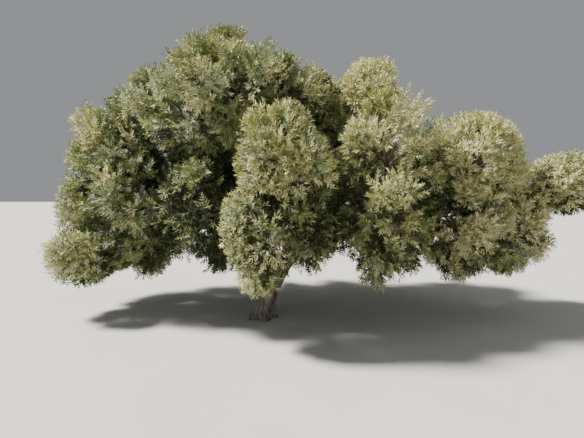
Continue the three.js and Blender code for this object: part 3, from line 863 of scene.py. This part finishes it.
def carve(piece, limbs):
    # bulges and long cracks on the trunk and the thick ends of the boughs
    mesh = piece.data
    points, normals = np.empty(len(mesh.vertices) * 3), np.empty(len(mesh.vertices) * 3)
    mesh.vertices.foreach_get("co", points)
    mesh.vertex_normals.foreach_get("vector", normals)
    points, normals = points.reshape(-1, 3), normals.reshape(-1, 3)
    grain, radii = grainOf(points, limbs)
    thick = np.clip((radii - bough["tipRadius"]) / bark["fullRelief"], bark["leastRelief"], 1)
    stretched = grain * np.array([1, 1, bark["stretch"]]) * bark["ridgeScale"]
    wavy = np.array([noise.noise(Vector(place)) for place in grain * bark["bulgeScale"]])
    plates = np.array([noise.noise(Vector(place)) for place in stretched])
    cracks = np.exp(-(plates / bark["crackWidth"]) ** 2)
    lift = thick * (bark["bulge"] * wavy - bark["crack"] * cracks)
    lift *= np.clip(points[:, 2] / bark["footEase"], 0, 1)  # the cut at the ground stays flat
    points += normals * lift[:, None]
    points[:, 2] = np.maximum(points[:, 2], 0)
    mesh.vertices.foreach_set("co", points.ravel())
    mesh.attributes.new("grain", "FLOAT_VECTOR", "POINT").data.foreach_set("vector", grain.ravel())
    # where the cracks are, for the painted shade in them
    mesh.attributes.new("crack", "FLOAT", "POINT").data.foreach_set("value", cracks * thick)
    mesh.update()


def makeWood(limbs, material):
    tubes = [trunkTube()] + [boughTube(limb) for limb in limbs[1:]]
    skin = fused(meshPiece("rough", *joined(tubes), material))
    mesh = bpy.data.meshes.new("wood")
    skin.to_mesh(mesh)
    skin.free()
    mesh.materials.append(material)
    mesh.polygons.foreach_set("use_smooth", np.full(len(mesh.polygons), True))
    piece = placed("wood", mesh)
    carve(piece, limbs)
    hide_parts(*[limb.name for limb in limbs])
    return piece


# Finishes

leafLook = {
    "sprays": (6, 2),  # scale and detail of what differs from spray to spray
    "leaves": (45, 1),  # and from leaf to leaf
    "sprayTone": (0.82, 1.18),
    "leafTone": (0.8, 1.2),
    "roughness": (0.42, 0.62),
    "specular": 0.28,
}

barkLook = {
    "patches": (7, 4),  # scale and detail
    "streaks": (55, 6),
    "grit": (240, 3),
    "drawnOut": (1, 1, 0.18),  # streaks run along the limb
    "patchRange": (0.35, 0.65),
    "patchPart": 0.45,  # of the way from dark to light
    "streakPart": 0.55,
    "gritPart": 0.3,  # of the height of the bumps
    # painted shade in the bark's cracks: how far they are darkened towards the crack colour
    "crackShadePart": 0.75,
    "bumpDepth": 0.006,
    "twigBumpDepth": 0.001,
    "roughness": (0.95, 0.78),
    "specular": 0.25,
    # painted shade: the near-black colour that the cracks are darkened to
    "crackShadeColour": (0.055, 0.045, 0.036),
    "light": (0.36, 0.325, 0.275),
    "dark": (0.14, 0.118, 0.094),
    "twigLight": (0.3, 0.275, 0.21),
    "twigDark": (0.15, 0.13, 0.092),
}

floorLook = {
    "colour": (0.62, 0.61, 0.59),
    "tone": (0.97, 1.03),
    "patches": (0.8, 3),
    "roughness": 0.9,
}

noiseRange = (0.3, 0.7)  # nearly all of a noise lies in it


def addNode(tree, kind, place, **settings):
    node = tree.nodes.new(kind)
    node.location = place
    for name, value in settings.items():
        setattr(node, name, value)
    return node


def feed(tree, socket, value):
    # a link from another socket, or else the value itself
    if isinstance(value, bpy.types.NodeSocket):
        tree.links.new(value, socket)
    else:
        socket.default_value = value


def objectPlace(tree):
    return addNode(tree, "ShaderNodeTexCoord", (-900, 0)).outputs["Object"]


def meshValue(tree, place, name, output):
    # what a vertex of the mesh carries under a name
    return addNode(tree, "ShaderNodeAttribute", place, attribute_name=name).outputs[output]


def noiseNode(tree, place, scale, detail, vector):
    node = addNode(tree, "ShaderNodeTexNoise", place)
    node.inputs["Scale"].default_value = scale
    node.inputs["Detail"].default_value = detail
    tree.links.new(vector, node.inputs["Vector"])
    return node.outputs["Fac"]


def rangeNode(tree, place, value, given, wanted):
    node = addNode(tree, "ShaderNodeMapRange", place)
    for name, number in zip(("From Min", "From Max", "To Min", "To Max"), (*given, *wanted)):
        node.inputs[name].default_value = number
    tree.links.new(value, node.inputs["Value"])
    return node.outputs["Result"]


def mixNode(tree, place, factor, low, high):
    node = addNode(tree, "ShaderNodeMix", place, data_type="RGBA")
    for socket, value in ((0, factor), (6, low), (7, high)):  # the factor and the two colours
        feed(tree, node.inputs[socket], value)
    return node.outputs[2]


def makeGroup(name, inputs, outputs):
    tree = bpy.data.node_groups.new(name, "ShaderNodeTree")
    for way, sockets in (("INPUT", inputs), ("OUTPUT", outputs)):
        for socketName, kind in sockets:
            tree.interface.new_socket(name=socketName, in_out=way, socket_type=kind)
    return tree, addNode(tree, "NodeGroupInput", (-900, 0)), addNode(tree, "NodeGroupOutput", (700, 0))


def leafToneGroup():
    # small differences from leaf to leaf and from spray to spray, on both sides of the blade
    tree, given, made = makeGroup(
        "leafTone",
        [("Place", "NodeSocketVector"), ("Upper", "NodeSocketColor"), ("Under", "NodeSocketColor")],
        [("Upper", "NodeSocketColor"), ("Under", "NodeSocketColor"), ("Roughness", "NodeSocketFloat")])
    place = given.outputs["Place"]
    broad = noiseNode(tree, (-650, 200), *leafLook["sprays"], place)
    fine = noiseNode(tree, (-650, -100), *leafLook["leaves"], place)
    broadTone = rangeNode(tree, (-420, 200), broad, noiseRange, leafLook["sprayTone"])
    fineTone = rangeNode(tree, (-420, -100), fine, noiseRange, leafLook["leafTone"])
    tone = addNode(tree, "ShaderNodeMath", (-200, 100), operation="MULTIPLY")
    tree.links.new(broadTone, tone.inputs[0])
    tree.links.new(fineTone, tone.inputs[1])
    for name, height in (("Upper", 200), ("Under", -100)):
        scaled = addNode(tree, "ShaderNodeVectorMath", (100, height), operation="SCALE")
        tree.links.new(given.outputs[name], scaled.inputs[0])
        tree.links.new(tone.outputs[0], scaled.inputs["Scale"])
        tree.links.new(scaled.outputs[0], made.inputs[name])
    rough = rangeNode(tree, (-420, -350), fine, noiseRange, leafLook["roughness"])
    tree.links.new(rough, made.inputs["Roughness"])
    return tree


def barkToneGroup():
    # grey bark in long streaks, with paler and darker patches
    tree, given, made = makeGroup(
        "barkTone",
        [("Grain", "NodeSocketVector"), ("Light", "NodeSocketColor"), ("Dark", "NodeSocketColor")],
        [("Color", "NodeSocketColor"), ("Roughness", "NodeSocketFloat"), ("Height", "NodeSocketFloat")])
    grain = given.outputs["Grain"]
    drawn = addNode(tree, "ShaderNodeVectorMath", (-600, -150), operation="MULTIPLY")
    drawn.inputs[1].default_value = barkLook["drawnOut"]
    tree.links.new(grain, drawn.inputs[0])
    patches = noiseNode(tree, (-400, 250), *barkLook["patches"], grain)
    streaks = noiseNode(tree, (-400, 0), *barkLook["streaks"], drawn.outputs[0])
    grit = noiseNode(tree, (-400, -250), *barkLook["grit"], grain)
    patchTone = rangeNode(tree, (-200, 250), patches, barkLook["patchRange"], (0, barkLook["patchPart"]))
    streakTone = rangeNode(tree, (-200, 0), streaks, noiseRange, (0, barkLook["streakPart"]))
    blend = addNode(tree, "ShaderNodeMath", (0, 150), operation="ADD")
    tree.links.new(patchTone, blend.inputs[0])
    tree.links.new(streakTone, blend.inputs[1])
    colour = mixNode(tree, (250, 150), blend.outputs[0], given.outputs["Dark"], given.outputs["Light"])
    tree.links.new(colour, made.inputs["Color"])
    rough = rangeNode(tree, (250, -50), streaks, noiseRange, barkLook["roughness"])
    tree.links.new(rough, made.inputs["Roughness"])
    height = addNode(tree, "ShaderNodeMath", (250, -250), operation="MULTIPLY_ADD")
    height.inputs[1].default_value = barkLook["gritPart"]
    tree.links.new(grit, height.inputs[0])
    tree.links.new(streaks, height.inputs[2])
    tree.links.new(height.outputs[0], made.inputs["Height"])
    return tree


def newMaterial(name):
    material = bpy.data.materials.new(name)
    material.use_nodes = True
    tree = material.node_tree
    return material, tree, tree.nodes["Principled BSDF"]


def placeGroup(tree, group, place, **values):
    node = addNode(tree, "ShaderNodeGroup", place, node_tree=group)
    for name, value in values.items():
        feed(tree, node.inputs[name], value)
    return node


def makeLeafMaterial(name, kind, tone):
    material, tree, shader = newMaterial(name)
    leafTone = placeGroup(tree, tone, (-650, 0), Place=objectPlace(tree),
                          Upper=(*kind["upper"], 1), Under=(*kind["under"], 1))
    behind = addNode(tree, "ShaderNodeNewGeometry", (-650, 300)).outputs["Backfacing"]
    colour = mixNode(tree, (-300, 100), behind, leafTone.outputs["Upper"], leafTone.outputs["Under"])
    tree.links.new(colour, shader.inputs["Base Color"])
    tree.links.new(leafTone.outputs["Roughness"], shader.inputs["Roughness"])
    shader.inputs["Specular IOR Level"].default_value = leafLook["specular"]
    return material


def makeBarkMaterial(name, tone, light, dark, depth, carved):
    material, tree, shader = newMaterial(name)
    grain = meshValue(tree, (-900, 0), "grain", "Vector") if carved else objectPlace(tree)
    barkTone = placeGroup(tree, tone, (-650, 0), Grain=grain, Light=(*light, 1), Dark=(*dark, 1))
    colour = barkTone.outputs["Color"]
    if carved:
        # painted shade: the bark is darkened in its cracks
        crack = meshValue(tree, (-650, 300), "crack", "Fac")
        shade = rangeNode(tree, (-400, 300), crack, (0, 1), (0, barkLook["crackShadePart"]))
        colour = mixNode(tree, (-200, 150), shade, colour, (*barkLook["crackShadeColour"], 1))
    bump = addNode(tree, "ShaderNodeBump", (-250, -200))
    bump.inputs["Distance"].default_value = depth
    tree.links.new(barkTone.outputs["Height"], bump.inputs["Height"])
    tree.links.new(colour, shader.inputs["Base Color"])
    tree.links.new(barkTone.outputs["Roughness"], shader.inputs["Roughness"])
    tree.links.new(bump.outputs["Normal"], shader.inputs["Normal"])
    shader.inputs["Specular IOR Level"].default_value = barkLook["specular"]
    return material


def makeFloorMaterial():
    material, tree, shader = newMaterial("paleFloor")
    patches = noiseNode(tree, (-650, 0), *floorLook["patches"], objectPlace(tree))
    tone = rangeNode(tree, (-400, 0), patches, noiseRange, (0, 1))
    low, high = [(*[part * shade for part in floorLook["colour"]], 1) for shade in floorLook["tone"]]
    tree.links.new(mixNode(tree, (-200, 0), tone, low, high), shader.inputs["Base Color"])
    shader.inputs["Roughness"].default_value = floorLook["roughness"]
    return material


# Studio

view = {
    "eye": (0.444, -6.5, 2.07),
    "downTilt": 5.08,  # degrees under level
    "lens": 27.06,  # millimetres, on a sensor 36 mm wide
    "sensor": 36,
    "farthest": 200,
}

studio = {
    "floorSize": 70,
    "floorDrop": 0.001,  # below the ground, so that the cut under the trunk stands on it
    "skyColour": (0.88, 0.91, 0.95, 1),
    "skyStrength": 0.34,
    "sunWay": (0.72, -0.09, -0.87),  # the way that the light travels
    "sunAngle": 10,  # degrees across, for soft shadows
    "sunStrength": 10.2,
    "sunColour": (1.0, 0.95, 0.86),
}


def makeStudio():
    half = studio["floorSize"] / 2
    corners = np.array([(-half, -half, 0), (half, -half, 0), (half, half, 0), (-half, half, 0)])
    corners[:, 2] = -studio["floorDrop"]
    triangles = np.array([(0, 1, 2), (0, 2, 3)])
    meshPiece("floor", corners, triangles, makeFloorMaterial(), smooth=False)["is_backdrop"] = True

    world = bpy.data.worlds.new("studio")
    world.use_nodes = True
    sky = world.node_tree.nodes["Background"]
    sky.inputs["Color"].default_value = studio["skyColour"]
    sky.inputs["Strength"].default_value = studio["skyStrength"]
    bpy.context.scene.world = world

    sun = bpy.data.lights.new("sun", "SUN")
    sun.angle = math.radians(studio["sunAngle"])
    sun.energy = studio["sunStrength"]
    sun.color = studio["sunColour"]
    lamp = placed("sun", sun)
    lamp.rotation_euler = Vector(studio["sunWay"]).to_track_quat("-Z", "Y").to_euler()

    lens = bpy.data.cameras.new("camera")
    lens.lens = view["lens"]
    lens.sensor_width = view["sensor"]
    lens.clip_end = view["farthest"]
    camera = placed("camera", lens)
    camera.location = view["eye"]
    camera.rotation_euler = (math.radians(90 - view["downTilt"]), 0, 0)
    bpy.context.scene.camera = camera


# The tree

makeStudio()
masses = layOutMasses()
limbs = layOutBoughs(masses)
print("laid out", len(masses), "masses on", len(limbs) - 1, "boughs")

barkTone = barkToneGroup()
barkMaterial = makeBarkMaterial("oldBark", barkTone, barkLook["light"], barkLook["dark"],
                                barkLook["bumpDepth"], True)
twigMaterial = makeBarkMaterial("twigBark", barkTone, barkLook["twigLight"], barkLook["twigDark"],
                                barkLook["twigBumpDepth"], False)
leafTone = leafToneGroup()
leafMaterials = [makeLeafMaterial(f"{name}Leaf", kind, leafTone) for name, kind in leafKindsAndPaintedLight.items()]

wood = makeWood(limbs, barkMaterial)
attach(wood, "root")
print("wood", len(wood.data.polygons), "faces")

spots = []
for limb in limbs:
    steps = math.ceil(limb.length / bough["markSpacing"])
    spots += [(limb.pointAt(share), np.mean(limb.radiusAt(share)))
              for share in np.linspace(0, 1, steps + 1)]
woodMarks = [np.array(part) for part in zip(*spots)]
for index, own in enumerate(masses):
    growMass(own, index, woodMarks)
print("grew", sum(len(own["shoots"]["start"]) for own in masses), "shoots")
keepSunlit(masses)
for own in masses:
    dealKindsAsPaintedLight(own)

# Which lobes' leaves and twigs are joined into one piece of each kind.
sides = {
    "left": ("left", "skirt", "low"),
    "top": ("top",),
    "middle": ("front", "middle", "knob"),
    "right": ("right", "end"),
    "back": ("back",),
}
leafTotal = 0
for side, lobeNames in sides.items():
    owned = [own for own in masses if own["lobe"] in lobeNames]
    nodeNames = [f"leaves_{own['lobe']}_{own['number']}" for own in owned]
    pieces = [(makeRods(side, owned, twigMaterial), "bark")]
    leaves = [insideBox(growLeaves(own)) for own in owned]
    leaves = {name: np.concatenate([some[name] for some in leaves]) for name in leaves[0]}
    for kindIndex, kindName in enumerate(leafKindsAndPaintedLight):
        some = thin(leaves, leaves["kind"] == kindIndex)
        leafTotal += len(some["root"])
        blades = meshPiece(f"leaves_{side}_{kindName}", *leafShapes(some), leafMaterials[kindIndex])
        pieces.append((blades, "leaves"))
    for piece, slotName in pieces:
        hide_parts(*nodeNames)
        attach(piece, "root")
print("grew", leafTotal, "leaves")

triangleTotal = sum(len(piece.data.loops) - 2 * len(piece.data.polygons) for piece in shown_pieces()
                    if piece.type == "MESH")
print(triangleTotal, "triangles in all")
